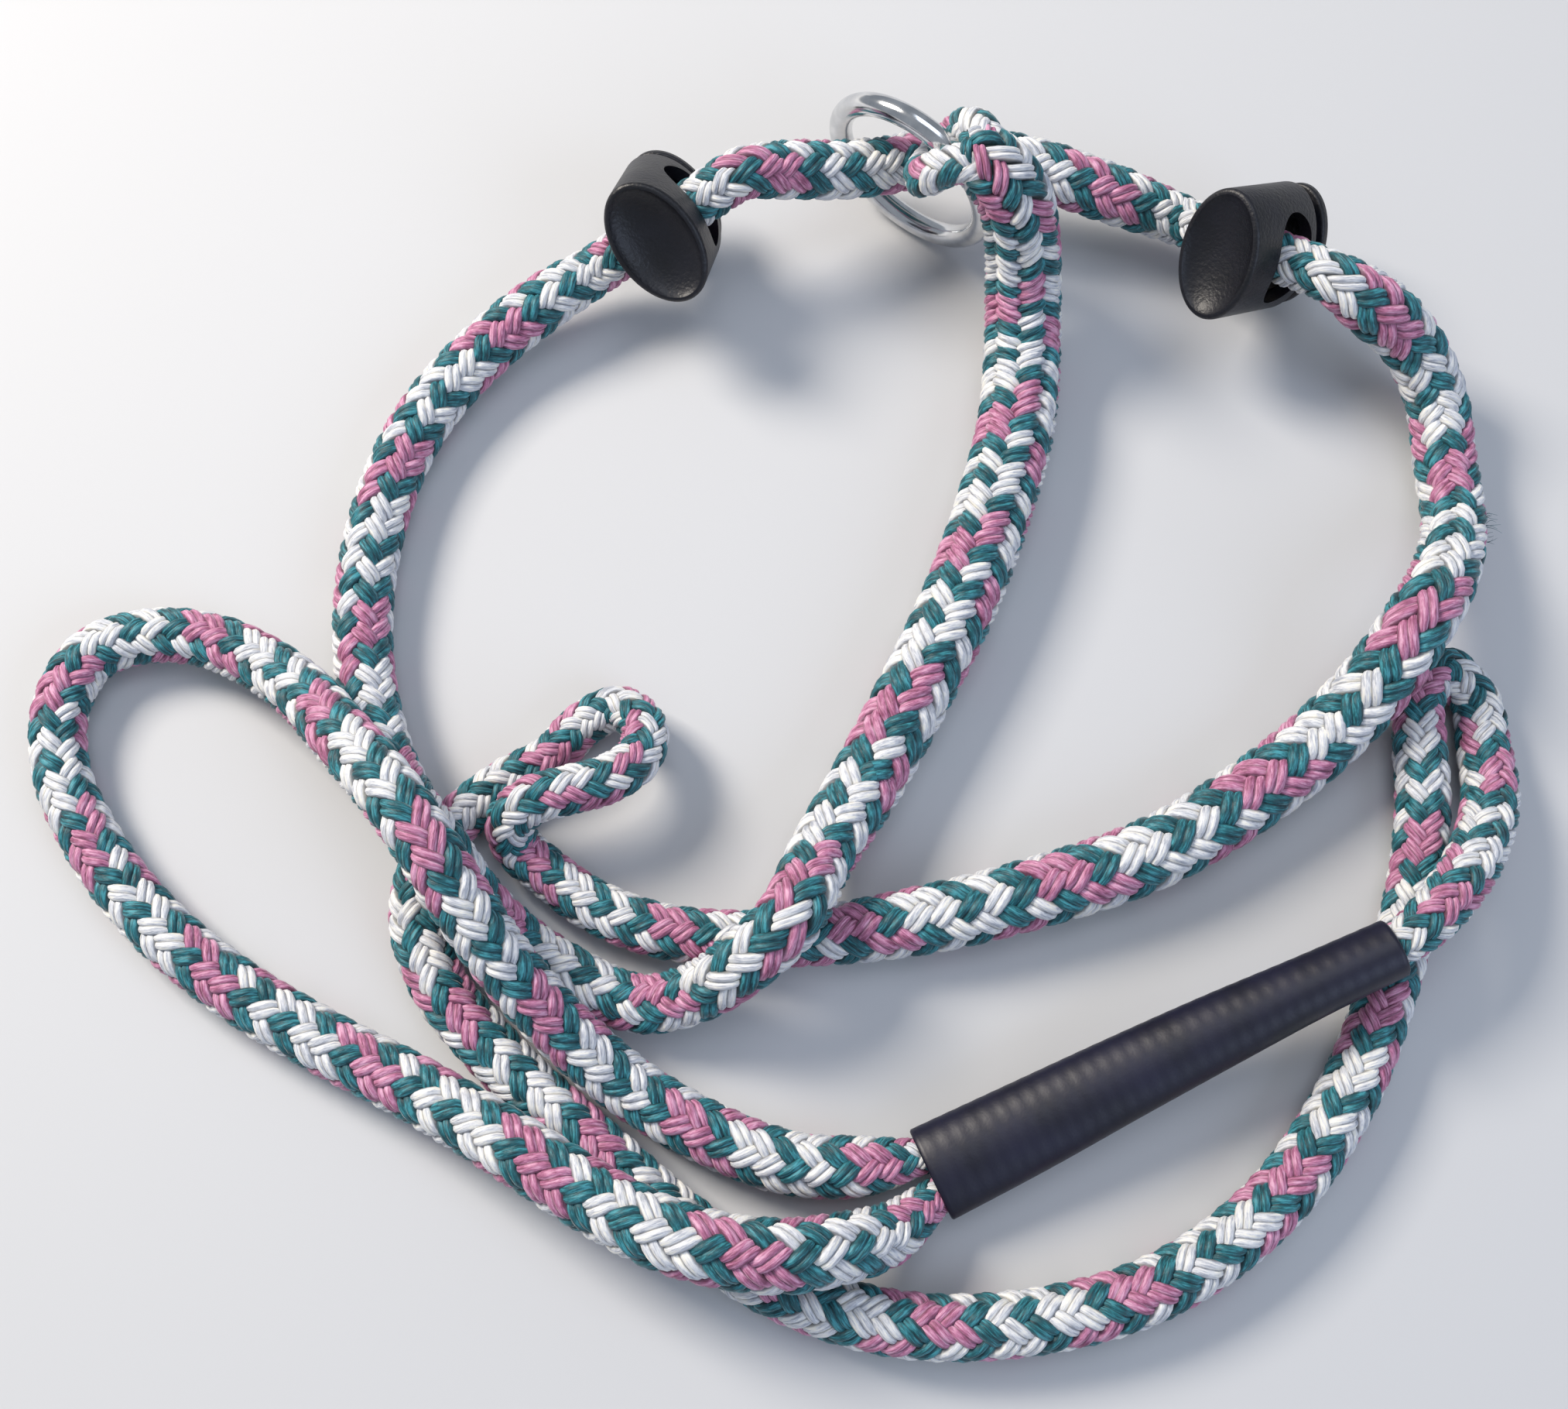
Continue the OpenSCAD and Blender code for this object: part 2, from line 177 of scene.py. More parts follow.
# Multifilament polypropylene yarn: bundles of fine parallel filaments with a soft silky sheen.
def yarnMaterial(name, dark, middle, light):
    material, tree, shader = newMaterial(name)
    uv = addNode(tree, "ShaderNodeUVMap", {"uv_map": "strand"})
    along = addNode(tree, "ShaderNodeMapping", {"Scale": (0.3, 3.0, 1.0)}, {"Vector": uv.outputs[0]})
    filaments = addNode(tree, "ShaderNodeTexNoise", {"Scale": 1.4, "Detail": 3.0, "Roughness": 0.65},
                        {"Vector": along.outputs[0]})
    patches = addNode(tree, "ShaderNodeTexNoise", {"Scale": 0.3, "Detail": 2.0},
                      {"Vector": uv.outputs[0]})
    mixed = addNode(tree, "ShaderNodeMath", {"operation": "MULTIPLY_ADD", 1: 0.35},
                    {0: patches.outputs[0], 2: filaments.outputs[0]})
    shade = addNode(tree, "ShaderNodeMath", {"operation": "SUBTRACT", 1: 0.17},
                    {0: mixed.outputs[0]})
    colour = ramp(tree, shade.outputs[0], [(0.33, dark), (0.5, middle), (0.66, light)])
    # Less light reaches the groove between the two yarns and the strand's edges.
    parts = addNode(tree, "ShaderNodeSeparateXYZ", links={0: uv.outputs[0]})
    wrapped = addNode(tree, "ShaderNodeMath", {"operation": "WRAP", 1: uvGap / 2, 2: -uvGap / 2},
                      {0: parts.outputs[1]})
    outward = addNode(tree, "ShaderNodeMath", {"operation": "ABSOLUTE"}, {0: wrapped.outputs[0]})
    groove = ramp(tree, outward.outputs[0],
                  [(0.0, "#A6A6A6"), (0.12, "#FFFFFF"), (0.8, "#FFFFFF"), (0.98, "#6A6A6A")])
    shaded = addNode(tree, "ShaderNodeVectorMath", {"operation": "MULTIPLY"},
                     {0: colour.outputs[0], 1: groove.outputs[0]})
    tree.links.new(shaded.outputs[0], shader.inputs["Base Color"])
    bump = addNode(tree, "ShaderNodeBump", {"Strength": 0.8, "Distance": 0.0003},
                   {"Height": filaments.outputs[0]})
    tree.links.new(bump.outputs[0], shader.inputs["Normal"])
    shader.inputs["Roughness"].default_value = 0.5
    shader.inputs["IOR"].default_value = 1.49
    shader.inputs["Sheen Weight"].default_value = 0.25
    shader.inputs["Sheen Roughness"].default_value = 0.4
    return material


yarnWhite = yarnMaterial("whitePolypropyleneYarn", "#A3A8B4", "#D9DBE0", "#F3F0E6")
yarnGreen = yarnMaterial("greenPolypropyleneYarn", "#063640", "#145C66", "#4095A2")
yarnPink = yarnMaterial("mauvePolypropyleneYarn", "#80425F", "#B87396", "#DBA6C2")


# Filling under the braid, seen only as a dark line between strands: its dark colour is painted shade
# for the gaps between the strands.
def coreShadeMaterial():
    material, tree, shader = newMaterial("shadedRopeCore")
    coords = addNode(tree, "ShaderNodeTexCoord")
    grain = addNode(tree, "ShaderNodeTexNoise", {"Scale": 900.0, "Detail": 2.0},
                    {"Vector": coords.outputs["Object"]})
    # Painted shade: these dark tones stand for the shadow deep between the strands.
    colour = ramp(tree, grain.outputs[0], [(0.3, "#1A2A2A"), (0.7, "#3A4A49")])
    tree.links.new(colour.outputs[0], shader.inputs["Base Color"])
    shader.inputs["Roughness"].default_value = 0.9
    return material


coreShade = coreShadeMaterial()
yarns = [yarnWhite, yarnGreen, yarnPink]

braid = {
    "carriers": 8,  # each way round
    "lead": 3.0,  # length of one turn, in rope diameters
    "spliceLead": 1.75,  # the same where the tail is buried and the braid is spread
    "lift": 0.078,  # how far a strand rises and dips, in diameters
    "lobe": 0.066,  # height of one yarn over its strand, in diameters
    "square": 1.5,  # how quickly a strand changes from over to under
    "middle": 0.9,  # where the strands lie, as a share of the rope's radius
    "cover": 0.93,  # share of the space round the rope that the strands of one way fill
    "wide": 1.08,  # the strands spread by this, and by so much more where they lie on top
    "wideOnTop": 0.05,
    "core": 0.74,  # thickness of the filling, as a share of the rope
    "coreTip": 0.05,  # the filling's radius at its narrowed ends
    "coreSides": 12,
    "step": 0.4,  # length of a mesh row, in crossings
    "leastRows": 8,
    "coreEvery": 4,  # the filling has one row for so many of a strand's
    "easeFrom": 7.2,  # the spliced lead holds to here, counted in points of the route
    "easeOver": 2.2,  # and eases to the plain one over so many points
    "order": "wwgppgwg",  # the colours one after another along the rope, both ways round
}
yarnSlot = {"w": 0, "g": 1, "p": 2}
uvShift = {"carrier": 17.0, "way": 140.0}  # keeps the yarn's pattern from repeating side by side
# Places across a strand, in half widths, and the height there: two round yarns and their groove.
lobeAcross = np.array([-1.0, -0.93, -0.7, -0.4, -0.13, 0.0, 0.13, 0.4, 0.7, 0.93, 1.0])
lobeHeight = np.array([-1.1, 0.2, 0.8, 1.0, 0.7, 0.35, 0.7, 1.0, 0.8, 0.2, -1.1])


def hermiteCurve(points, perSpan=24):
    # A smooth line through all the points, straight where a lock holds the rope.
    p = np.array(points, float)
    gaps = np.linalg.norm(np.diff(p[:, :3], axis=0), axis=1)
    slopes = np.diff(p, axis=0) / gaps[:, None]
    tangents = np.zeros_like(p)
    tangents[0], tangents[-1] = slopes[0], slopes[-1]
    for i in range(1, len(p) - 1):
        a, b = gaps[i - 1], gaps[i]
        tangents[i] = (slopes[i - 1] * b + slopes[i] * a) / (a + b)
    for start, end in heldSpans:
        for i in range(len(p) - 1):
            if tuple(p[i, :2]) == start and tuple(p[i + 1, :2]) == end:
                tangents[i, :3] = tangents[i + 1, :3] = slopes[i, :3]
                tangents[i, 3] = tangents[i + 1, 3] = 0
    rows, owners = [], []
    for i in range(len(p) - 1):
        for t in np.linspace(0, 1, perSpan, endpoint=False):
            h = gaps[i]
            a = (1 + 2 * t) * (1 - t) ** 2
            b = t * (1 - t) ** 2 * h
            c = t * t * (3 - 2 * t)
            d = t * t * (t - 1) * h
            rows.append(a * p[i] + b * tangents[i] + c * p[i + 1] + d * tangents[i + 1])
            owners.append(i + t)
    rows.append(p[-1])
    owners.append(len(p) - 1.0)
    return np.array(rows), np.array(owners)


def transportFrames(centre):
    t = np.gradient(centre, axis=0)
    t /= np.linalg.norm(t, axis=1)[:, None]
    side = np.zeros_like(t)
    first = np.cross(t[0], (0, 0, 1.0))
    side[0] = first / np.linalg.norm(first)
    for i in range(1, len(t)):
        s = side[i - 1] - t[i] * side[i - 1].dot(t[i])
        side[i] = s / np.linalg.norm(s)
    return t, side, np.cross(side, t)


def braidTable(points, leadAt):
    # Everything that depends on the distance along the rope, in one table.
    rows, owners = hermiteCurve(points)
    centre = rows[:, :3]
    diameter = rows[:, 3]
    tangent, side, up = transportFrames(centre)
    steps = np.linalg.norm(np.diff(centre, axis=0), axis=1)
    distance = np.concatenate([[0], np.cumsum(steps)])
    lead = leadAt(owners) * diameter
    turn = np.concatenate([[0], np.cumsum(steps * 2 / (lead[:-1] + lead[1:]))])
    return {"centre": centre, "diameter": diameter, "tangent": tangent, "side": side, "up": up,
            "distance": distance, "turn": turn, "owner": owners}


def sampled(table, turns):
    out = {}
    for key in ("centre", "side", "up", "tangent"):
        out[key] = np.stack([np.interp(turns, table["turn"], table[key][:, c]) for c in range(3)], 1)
    for key in ("diameter", "distance"):
        out[key] = np.interp(turns, table["turn"], table[key])
    return out


def meshPiece(name, verts, faces, materialOf, uvs, materials):
    mesh = bpy.data.meshes.new(name)
    mesh.vertices.add(len(verts))
    mesh.vertices.foreach_set("co", (verts * mm).astype(np.float32).ravel())
    mesh.loops.add(faces.size)
    mesh.loops.foreach_set("vertex_index", faces.astype(np.int32).ravel())
    mesh.polygons.add(len(faces))
    mesh.polygons.foreach_set("loop_start", np.arange(0, faces.size, 4, dtype=np.int32))
    mesh.polygons.foreach_set("material_index", materialOf.astype(np.int32))
    mesh.polygons.foreach_set("use_smooth", np.ones(len(faces), dtype=bool))
    layer = mesh.uv_layers.new(name="strand")
    layer.data.foreach_set("uv", uvs[faces.ravel()].astype(np.float32).ravel())
    for material in materials:
        mesh.materials.append(material)
    mesh.update(calc_edges=True)
    mesh.validate()
    piece = bpy.data.objects.new(name, mesh)
    bpy.context.collection.objects.link(piece)
    return piece


def gridFaces(rows, columns, closed=False):
    r = np.arange(rows - 1)[:, None]
    last = columns if closed else columns - 1
    c = np.arange(last)[None, :]
    d = (c + 1) % columns
    quads = np.stack([r * columns + c, r * columns + d,
                      (r + 1) * columns + d, (r + 1) * columns + c], -1)
    return quads.reshape(-1, 4)


def braidedPiece(name, table, firstTurn, lastTurn, carriers=braid["carriers"]):
    step = braid["step"] / (2 * carriers)
    count = max(braid["leastRows"], int(math.ceil((lastTurn - firstTurn) / step)))
    turns = np.linspace(firstTurn, lastTurn, count + 1)
    row = sampled(table, turns)
    crossing = turns * 2 * carriers
    radius = row["diameter"] / 2
    parts, faceParts, slots, uvParts = [], [], [], []
    offset = 0
    for way in (1, -1):
        for carrier in range(carriers):
            # Over two and under two: four crossings to a wave, and one way dips where the other rises.
            if way == 1:
                wave = np.cos(2 * math.pi * (crossing + 2 * carrier - 0.5) / 4)
            else:
                wave = np.cos(2 * math.pi * (2 * carrier - crossing - 2.5) / 4)
            wave = np.tanh(braid["square"] * wave) / math.tanh(braid["square"])
            theta = 2 * math.pi * carrier / carriers + way * 2 * math.pi * turns
            pitch = np.gradient(row["distance"], turns)
            slant = np.arctan2(2 * math.pi * radius * braid["middle"], pitch)
            half = 0.5 * (2 * math.pi * radius * braid["cover"] / carriers) * np.cos(slant)
            half = half * (braid["wide"] + braid["wideOnTop"] * wave)
            surface = (radius * (1 - 2 * braid["lift"] - 2 * braid["lobe"])
                       + 2 * radius * braid["lift"] * wave)
            lobe = 2 * radius * braid["lobe"]
            across = lobeAcross[None, :] * half[:, None]
            height = surface[:, None] + lobe[:, None] * lobeHeight[None, :]
            # A step sideways is partly round the rope and partly along it.
            turned = theta[:, None] + across * np.cos(slant)[:, None] / height
            along = -way * across * np.sin(slant)[:, None]
            direction = (row["side"][:, None, :] * np.cos(turned)[..., None]
                         + row["up"][:, None, :] * np.sin(turned)[..., None])
            verts = (row["centre"][:, None, :] + direction * height[..., None]
                     + row["tangent"][:, None, :] * along[..., None])
            runs = np.concatenate([[0], np.cumsum(np.diff(row["distance"]) / np.cos(slant[:-1]))])
            uv = np.stack([np.repeat(runs[:, None], len(lobeAcross), 1)
                           + uvShift["carrier"] * carrier + uvShift["way"] * way,
                           np.repeat(lobeAcross[None, :], len(turns), 0) + uvGap * carrier], -1)
            faces = gridFaces(len(turns), len(lobeAcross))
            parts.append(verts.reshape(-1, 3))
            uvParts.append(uv.reshape(-1, 2))
            faceParts.append(faces + offset)
            colour = braid["order"][(-way * carrier) % len(braid["order"])]
            slots.append(np.full(len(faces), yarnSlot[colour]))
            offset += verts.shape[0] * verts.shape[1]
    # Filling under the strands, narrowed almost to a point at both ends; its material is painted shade,
    # dark where it shows between the strands.
    sides = braid["coreSides"]
    coarse = np.linspace(firstTurn, lastTurn, max(braid["leastRows"], count // braid["coreEvery"]))
    row = sampled(table, coarse)
    angles = np.arange(sides) * 2 * math.pi / sides
    core = row["diameter"] / 2 * braid["core"]
    core[0] = core[-1] = braid["coreTip"]
    direction = (row["side"][:, None, :] * np.cos(angles)[None, :, None]
                 + row["up"][:, None, :] * np.sin(angles)[None, :, None])
    verts = row["centre"][:, None, :] + direction * core[:, None, None]
    faces = gridFaces(len(coarse), sides, closed=True)
    parts.append(verts.reshape(-1, 3))
    uvParts.append(np.zeros((verts.shape[0] * sides, 2)))
    faceParts.append(faces + offset)
    slots.append(np.full(len(faces), len(yarns)))
    return meshPiece(name, np.concatenate(parts) + mark, np.concatenate(faceParts),
                     np.concatenate(slots), np.concatenate(uvParts), yarns + [coreShade])


def routeLead(owners):
    # The spliced stretch has spread strands and eases to the plain braid over its last part.
    ease = np.clip((owners - braid["easeFrom"]) / braid["easeOver"], 0, 1)
    return braid["spliceLead"] + (braid["lead"] - braid["spliceLead"]) * ease


def makeRope():
    points = [p for s in stretches for p in s[2]]
    table = braidTable(points, routeLead)
    first = 0
    made = {}
    for name, node, part in stretches:
        last = first + len(part) - (1 if name == "ropeSplice" else 0)
        ends = np.interp([first, last], table["owner"], table["turn"])
        piece = braidedPiece(name, table, ends[0], ends[1])
        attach(piece, "root")
        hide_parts(node)
        inside = (table["owner"] >= first) & (table["owner"] <= last)
        path = (table["centre"][inside][::3] + mark) * mm
        path = np.vstack([path, (table["centre"][inside][-1] + mark) * mm])
        length = float(np.linalg.norm(np.diff(path, axis=0), axis=1).sum())
        middle = float(np.median(table["diameter"][inside])) * mm
        made[name] = (piece, path, length, middle)
        print(name, "length %.3f m" % length, "diameter %.4f m" % middle, len(piece.data.polygons))
        first = last
    return made


eye = {"lead": 2.0, "carriers": 4}  # shorter turns and fewer strands than the rest of the rope


def makeEye():
    c, s = math.cos(ringTurn), math.sin(ringTurn)
    points = [(ringAt[0] + t * c - n * s, ringAt[1] + t * s + n * c, z, eyeD) for t, n, z in eyePath]
    table = braidTable(points, lambda owners: np.full(len(owners), eye["lead"]))
    piece = braidedPiece("ropeEye", table, 0, table["turn"][-1], carriers=eye["carriers"])
    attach(piece, "root")
    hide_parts("rope_eye")
    path = (table["centre"][::3] + mark) * mm
    length = float(np.linalg.norm(np.diff(path, axis=0), axis=1).sum())
    return piece, path, length, eyeD * mm


rope = makeRope()
madeEye = makeEye()
print("rope braided")


# Bright nickel plating on the welded ring: a mirror with faint handling wear.
def chromeMaterial():
    material, tree, shader = newMaterial("nickelPlatedSteel")
    coords = addNode(tree, "ShaderNodeTexCoord")
    wear = addNode(tree, "ShaderNodeTexNoise", {"Scale": 350.0, "Detail": 4.0},
                   {"Vector": coords.outputs["Object"]})
    colour = ramp(tree, wear.outputs[0], [(0.35, "#C9CBCE"), (0.7, "#E4E5E6")])
    tree.links.new(colour.outputs[0], shader.inputs["Base Color"])
    rough = addNode(tree, "ShaderNodeMapRange", {"To Min": 0.08, "To Max": 0.22},
                    {"Value": wear.outputs[0]})
    tree.links.new(rough.outputs[0], shader.inputs["Roughness"])
    shader.inputs["Metallic"].default_value = 1.0
    return material


def lockMaterial():
    # Acetal moulded in a spark-eroded tool: a fine even pebble that scatters the light.
    material, tree, shader = newMaterial("mouldedAcetal")
    coords = addNode(tree, "ShaderNodeTexCoord")
    pebble = addNode(tree, "ShaderNodeTexNoise", {"Scale": 1700.0, "Detail": 2.0},
                     {"Vector": coords.outputs["Object"]})
    broad = addNode(tree, "ShaderNodeTexNoise", {"Scale": 140.0, "Detail": 3.0},
                    {"Vector": coords.outputs["Object"]})
    colour = ramp(tree, broad.outputs[0], [(0.3, "#090A10"), (0.7, "#12131D")])
    tree.links.new(colour.outputs[0], shader.inputs["Base Color"])
    rough = addNode(tree, "ShaderNodeMapRange", {"To Min": 0.36, "To Max": 0.52},
                    {"Value": broad.outputs[0]})
    tree.links.new(rough.outputs[0], shader.inputs["Roughness"])
    bump = addNode(tree, "ShaderNodeBump", {"Strength": 0.7, "Distance": 0.00015},
                   {"Height": pebble.outputs[0]})
    tree.links.new(bump.outputs[0], shader.inputs["Normal"])
    return material


def sleeveMaterial():
    # Polyolefin heat-shrink tube: dark navy, satin, drawn tight over the rope.
    material, tree, shader = newMaterial("shrunkPolyolefin")
    coords = addNode(tree, "ShaderNodeTexCoord")
    broad = addNode(tree, "ShaderNodeTexNoise", {"Scale": 120.0, "Detail": 4.0},
                    {"Vector": coords.outputs["Object"]})
    colour = ramp(tree, broad.outputs[0], [(0.3, "#07071A"), (0.7, "#11112B")])
    tree.links.new(colour.outputs[0], shader.inputs["Base Color"])
    rough = addNode(tree, "ShaderNodeMapRange", {"To Min": 0.38, "To Max": 0.5},
                    {"Value": broad.outputs[0]})
    tree.links.new(rough.outputs[0], shader.inputs["Roughness"])
    fine = addNode(tree, "ShaderNodeTexNoise", {"Scale": 1500.0, "Detail": 2.0},
                   {"Vector": coords.outputs["Object"]})
    bump = addNode(tree, "ShaderNodeBump", {"Strength": 0.2, "Distance": 0.0001},
                   {"Height": fine.outputs[0]})
    tree.links.new(bump.outputs[0], shader.inputs["Normal"])
    return material


def paint(node, material):
    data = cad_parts[node].data
    data.materials.clear()
    data.materials.append(material)


chrome = chromeMaterial()
lockPlastic = lockMaterial()
sleevePlastic = sleeveMaterial()
paint("ring", chrome)
for side in ("left", "right"):
    paint(side + "_lock_spring", chrome)
print("ring and springs painted")

# Cord locks, built upright with the hollowed face on top and then turned into place on the rope.
lock = {
    "length": 18.5, "width": 21.0, "thick": 14.0, "wall": 2.2, "dish": 2.2, "rim": 0.9,
    "slotWidth": 15.0, "slotHeight": 9.2, "slotAt": 2.0, "ropeAt": 6.6,
    "capThick": 1.8, "capGap": 2.5, "plungerEnd": 12.5, "gap": 0.3,
    "foot": 0.12,  # the barrel starts so far up, clear of the pressed cap
    "faceWall": 1.2,  # between the bottom of the dish and the cavity
    "bowlAbove": 0.9,  # height of the dish's centre over the barrel
    "barrelEdge": 0.7, "stemEdge": 0.4, "capEdge": 0.5,  # roundings
    "capInset": 1.0, "capOverlap": 0.5,  # the cap is smaller than the barrel, and laps the stem
    "slotInset": 2.0,  # the plunger's slot is narrower than the barrel's
    "slotRound": 0.49,  # rounding of the slot's ends, as a share of its height
    "cutLength": 30.0, "cutBelow": 1.0,  # cutters reach past what they cut
    "sides": 96, "smoothTo": 35,  # edges sharper than so many degrees stay crisp
}
# How each lock is turned, in degrees about x, y and z.
lockTurns = {"left": (33, 34, -48), "right": (36, 44, -103)}


def only(piece):
    bpy.ops.object.select_all(action="DESELECT")
    piece.select_set(True)
    bpy.context.view_layer.objects.active = piece


def ovalPost(name, width, thick, bottom, top, bevel=0.0):
    bpy.ops.object.select_all(action="DESELECT")
    bpy.ops.mesh.primitive_cylinder_add(vertices=lock["sides"], radius=1, depth=1,
                                        location=(0, 0, (bottom + top) / 2 * mm))
    post = bpy.context.object
    post.name = name
    post.scale = (width / 2 * mm, thick / 2 * mm, (top - bottom) * mm)
    bpy.ops.object.transform_apply(location=True, rotation=True, scale=True)
    if bevel:
        rounding = post.modifiers.new("edge", "BEVEL")
        rounding.width = bevel * mm
        rounding.segments = 5
        rounding.limit_method = "ANGLE"
        bpy.ops.object.modifier_apply(modifier="edge")
    return post


def cutAway(piece, cutter):
    only(piece)
    cut = piece.modifiers.new("cut", "BOOLEAN")
    cut.operation = "DIFFERENCE"
    cut.solver = "EXACT"
    cut.object = cutter
    bpy.ops.object.modifier_apply(modifier="cut")
    bpy.data.objects.remove(cutter, do_unlink=True)


def slotCutter(width, height, bottom):
    bpy.ops.object.select_all(action="DESELECT")
    bpy.ops.mesh.primitive_cube_add(size=1, location=(0, 0, (bottom + height / 2) * mm))
    cutter = bpy.context.object
    cutter.scale = (width * mm, lock["cutLength"] * mm, height * mm)
    bpy.ops.object.transform_apply(location=True, rotation=True, scale=True)
    bpy.ops.object.mode_set(mode="EDIT")
    bpy.ops.mesh.select_all(action="DESELECT")
    bpy.ops.object.mode_set(mode="OBJECT")
    # Only the long edges are rounded.
    for edge in cutter.data.edges:
        a, b = (cutter.data.vertices[v].co for v in edge.vertices)
        edge.select = abs(a.y - b.y) > lock["cutLength"] / 3 * mm
    bpy.ops.object.mode_set(mode="EDIT")
    bpy.ops.mesh.bevel(offset=height * lock["slotRound"] * mm, segments=10)
    bpy.ops.object.mode_set(mode="OBJECT")
    return cutter


def makeBarrel():
    barrel = ovalPost("barrel", lock["width"], lock["thick"], lock["foot"], lock["length"],
                      lock["barrelEdge"])
    deep = lock["length"] - lock["dish"] - lock["faceWall"]
    cutAway(barrel, ovalPost("cavity", lock["width"] - 2 * lock["wall"],
                             lock["thick"] - 2 * lock["wall"], -lock["cutBelow"], deep))
    cutAway(barrel, slotCutter(lock["slotWidth"], lock["slotHeight"], lock["slotAt"]))
    # A flattened ball hollows the face, as wide as the rim leaves it at the barrel's end.
    bpy.ops.object.select_all(action="DESELECT")
    above = lock["bowlAbove"]
    bpy.ops.mesh.primitive_uv_sphere_add(segments=lock["sides"], ring_count=lock["sides"] // 2,
                                         radius=1, location=(0, 0, (lock["length"] + above) * mm))
    bowl = bpy.context.object
    spread = 1 / math.sqrt(1 - (above / (lock["dish"] + above)) ** 2)
    bowl.scale = ((lock["width"] / 2 - lock["rim"]) * spread * mm,
                  (lock["thick"] / 2 - lock["rim"]) * spread * mm, (lock["dish"] + above) * mm)
    bpy.ops.object.transform_apply(location=True, rotation=True, scale=True)
    cutAway(barrel, bowl)
    return barrel


def makePlunger():
    inset = 2 * (lock["wall"] + lock["gap"])
    stem = ovalPost("plunger", lock["width"] - inset, lock["thick"] - inset,
                    -lock["capGap"] - lock["capOverlap"], lock["plungerEnd"], lock["stemEdge"])
    cutAway(stem, slotCutter(lock["slotWidth"] - lock["slotInset"],
                             lock["slotHeight"] + lock["capGap"], lock["slotAt"] - lock["capGap"]))
    cap = ovalPost("cap", lock["width"] - lock["capInset"], lock["thick"] - lock["capInset"],
                   -lock["capGap"] - lock["capThick"], -lock["capGap"], lock["capEdge"])
    only(stem)
    join = stem.modifiers.new("join", "BOOLEAN")
    join.operation = "UNION"
    join.solver = "EXACT"
    join.object = cap
    bpy.ops.object.modifier_apply(modifier="join")
    bpy.data.objects.remove(cap, do_unlink=True)
    return stem


def seatLock(piece, side, span):
    a, b = [np.array(p) for p in span]
    middle = Vector(((a + b) / 2 + mark) * mm)
    turn = Euler([math.radians(v) for v in lockTurns[side]], "XYZ").to_matrix().to_4x4()
    drop = Matrix.Translation((0, 0, -lock["ropeAt"] * mm))
    piece.data.transform(Matrix.Translation(middle) @ turn @ drop)
    only(piece)
    bpy.ops.object.shade_smooth_by_angle(angle=math.radians(lock["smoothTo"]))


lockSpans = {"left": ((-30, 73, 10), (-8.5, 82, 22)), "right": ((68, 80, 11), (86, 65, 22))}
for side in ("left", "right"):
    for kind, make, body in (("Barrel", makeBarrel, "_lock"), ("Plunger", makePlunger, "_plunger")):
        piece = make()
        piece.name = side + "Lock" + kind
        piece.data.name = piece.name
        piece.data.materials.clear()
        piece.data.materials.append(lockPlastic)
        seatLock(piece, side, lockSpans[side])
        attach(piece, side + body)
        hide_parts(side + "_lock_" + kind.lower())
        print(piece.name, len(piece.data.polygons))
print("cord locks made")

# Sleeve, a thin tube drawn over three ropes: x, y, z, width and height at each point.
sleevePath = [
    (90.5, -41.2, 14.4, 8.9, 8.7), (78, -46.8, 12.6, 9.6, 8.7), (65, -52.8, 10.6, 11, 8.7),
    (50, -60, 8.4, 12.4, 8.6), (36, -66.9, 6.6, 13.6, 8.7), (22, -73.6, 5.2, 14.4, 8.7),
]


sleeve = {
    "sides": 64, "perSpan": 28, "wall": 0.55, "lip": 0.25,
    "ribHeight": 0.025, "ribPitch": 2.4, "ribBow": 1.2, "ribTurn": 0.6,
}


def makeSleeve():
    rows = hermiteCurve(sleevePath, sleeve["perSpan"])[0]
    tangent = transportFrames(rows[:, :3])[0]
    across = np.cross(tangent, (0, 0, 1.0))
    across /= np.linalg.norm(across, axis=1)[:, None]
    over = np.cross(across, tangent)
    sides = sleeve["sides"]
    angles = np.arange(sides) * 2 * math.pi / sides
    run = np.concatenate([[0], np.cumsum(np.linalg.norm(np.diff(rows[:, :3], axis=0), axis=1))])
    # The strands under it show through as faint ribs across the tube, mostly on its upper side.
    rib = sleeve["ribHeight"] * np.sin(2 * math.pi * run[:, None] / sleeve["ribPitch"]
                                       + sleeve["ribBow"] * np.sin(angles)[None, :])
    rib = rib * (0.5 + 0.5 * np.sin(angles + sleeve["ribTurn"])[None, :])
    walls = []
    for shrink, swell in ((0.0, 1.0), (sleeve["wall"], 0.0)):
        half = rows[:, 3:5] / 2 - shrink
        walls.append(rows[:, None, :3]
                     + across[:, None, :] * ((half[:, 0:1] + rib * swell) * np.cos(angles))[..., None]
                     + over[:, None, :] * ((half[:, 1:2] + rib * swell) * np.sin(angles))[..., None])
    outer, inner = walls
    endLip = 0.5 * (outer[-1:] + inner[-1:]) + tangent[-1] * sleeve["lip"]
    startLip = 0.5 * (outer[:1] + inner[:1]) - tangent[0] * sleeve["lip"]
    rings = np.concatenate([outer, endLip, inner[::-1], startLip])
    verts = rings.reshape(-1, 3)
    faces = gridFaces(len(rings) + 1, sides, closed=True) % len(verts)
    piece = meshPiece("heatShrinkSleeve", verts + mark, faces[:, ::-1], np.zeros(len(faces)),
                      np.zeros((len(verts), 2)), [sleevePlastic])
    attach(piece, "root")
    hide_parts("heat_shrink_sleeve")
    print("sleeve made", len(piece.data.polygons))


makeSleeve()

snag = {
    "at": (113.2, 27.5, 8.5), "count": 16, "rows": 7, "sides": 4, "radius": 0.055, "thinning": 0.6,
    "reach": 1.6, "reachVary": 0.8, "lean": 0.45, "rise": 0.3,
    "spread": (-0.6, 2.6, 0.9),  # how far apart the filaments start
    "bend": (0.5, 0.4),  # sideways and up
}


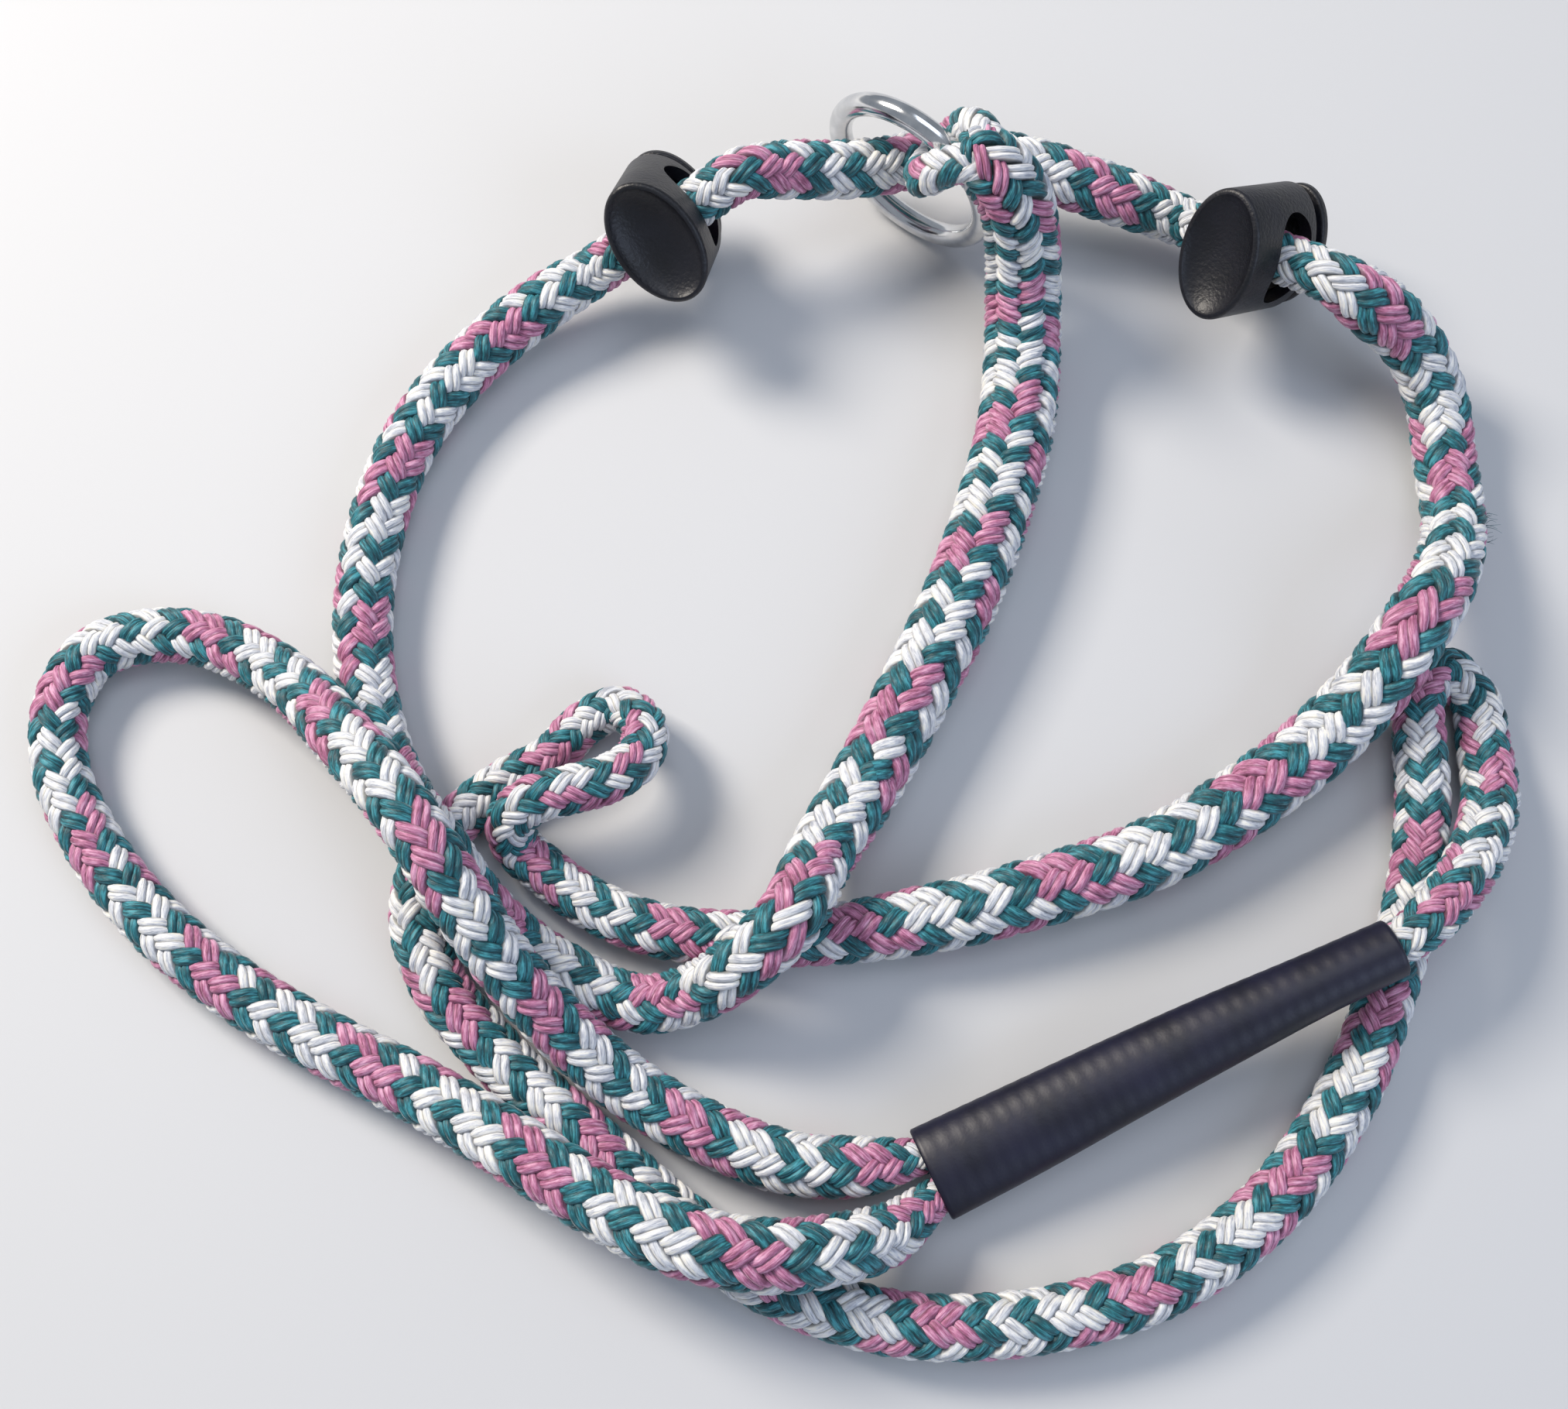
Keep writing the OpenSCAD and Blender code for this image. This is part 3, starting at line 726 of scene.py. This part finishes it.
def makeSnag():
    # A few green filaments pulled out of the side of the rope, each turned its own way.
    rows, sides = snag["rows"], snag["sides"]
    back, aside, above = snag["spread"]
    verts, faces = [], []
    for k in range(snag["count"]):
        lean = snag["lean"] * math.sin(2.3 * k)
        reach = snag["reach"] + snag["reachVary"] * math.sin(4.1 * k)
        start = np.array(snag["at"]) + np.array([back, aside * math.sin(1.7 * k),
                                                 above * math.cos(2.9 * k)])
        bend = np.array([0, snag["bend"][0] * math.cos(3.3 * k), snag["bend"][1] * math.sin(5.1 * k)])
        for i in range(rows):
            t = i / (rows - 1)
            centre = start + np.array([reach * t, lean * reach * t, snag["rise"] * t])
            centre = centre + bend * math.sin(3 * t)
            wide = snag["radius"] * (1 - snag["thinning"] * t)
            for j in range(sides):
                angle = 2 * math.pi / sides * j
                verts.append(centre + np.array([0, wide * math.cos(angle), wide * math.sin(angle)]))
        faces.append(gridFaces(rows, sides, closed=True) + k * rows * sides)
    verts, faces = np.array(verts), np.concatenate(faces)
    uvs = np.stack([verts[:, 0], np.full(len(verts), 0.5)], 1)
    piece = meshPiece("fibreSnag", verts + mark, faces, np.zeros(len(faces)), uvs, [yarnGreen])
    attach(piece, "root")


makeSnag()


studio = {
    "floorSize": 6.0, "floorDrop": 0.0002, "floorColour": "#C9CACC", "floorRoughness": 0.8,
    "skyColour": "#DDE6F2", "skyStrength": 0.42,
    # name, place and size in metres, power in watts, tint
    "lamps": [
        ("keyLight", (-0.55, 0.4, 0.6), 0.3, 9.6, "#FFF6EA"),
        ("fillLight", (0.7, -0.5, 0.6), 0.6, 3.0, "#D4E3FF"),
        ("topLight", (0.1, 0.2, 0.9), 0.5, 1.6, "#EAF1FF"),
    ],
}


def makeStudio():
    bpy.ops.object.select_all(action="DESELECT")
    bpy.ops.mesh.primitive_plane_add(size=studio["floorSize"], location=(0, 0, -studio["floorDrop"]))
    floor = bpy.context.object
    floor.name = "studioFloor"
    material, tree, shader = newMaterial("paleFloor")
    shader.inputs["Base Color"].default_value = linear(studio["floorColour"])
    shader.inputs["Roughness"].default_value = studio["floorRoughness"]
    floor.data.materials.append(material)
    world = bpy.data.worlds.new("studio")
    world.use_nodes = True
    sky = world.node_tree.nodes["Background"]
    sky.inputs[0].default_value = linear(studio["skyColour"])
    sky.inputs[1].default_value = studio["skyStrength"]
    bpy.context.scene.world = world
    for name, place, size, power, tint in studio["lamps"]:
        data = bpy.data.lights.new(name, "AREA")
        data.energy = power
        data.size = size
        data.color = linear(tint)[:3]
        lamp = bpy.data.objects.new(name, data)
        lamp.location = place
        lamp.rotation_euler = (-Vector(place)).to_track_quat("-Z", "Y").to_euler()
        bpy.context.collection.objects.link(lamp)
    bpy.context.scene.view_settings.view_transform = "Standard"


makeStudio()
print("studio lit")
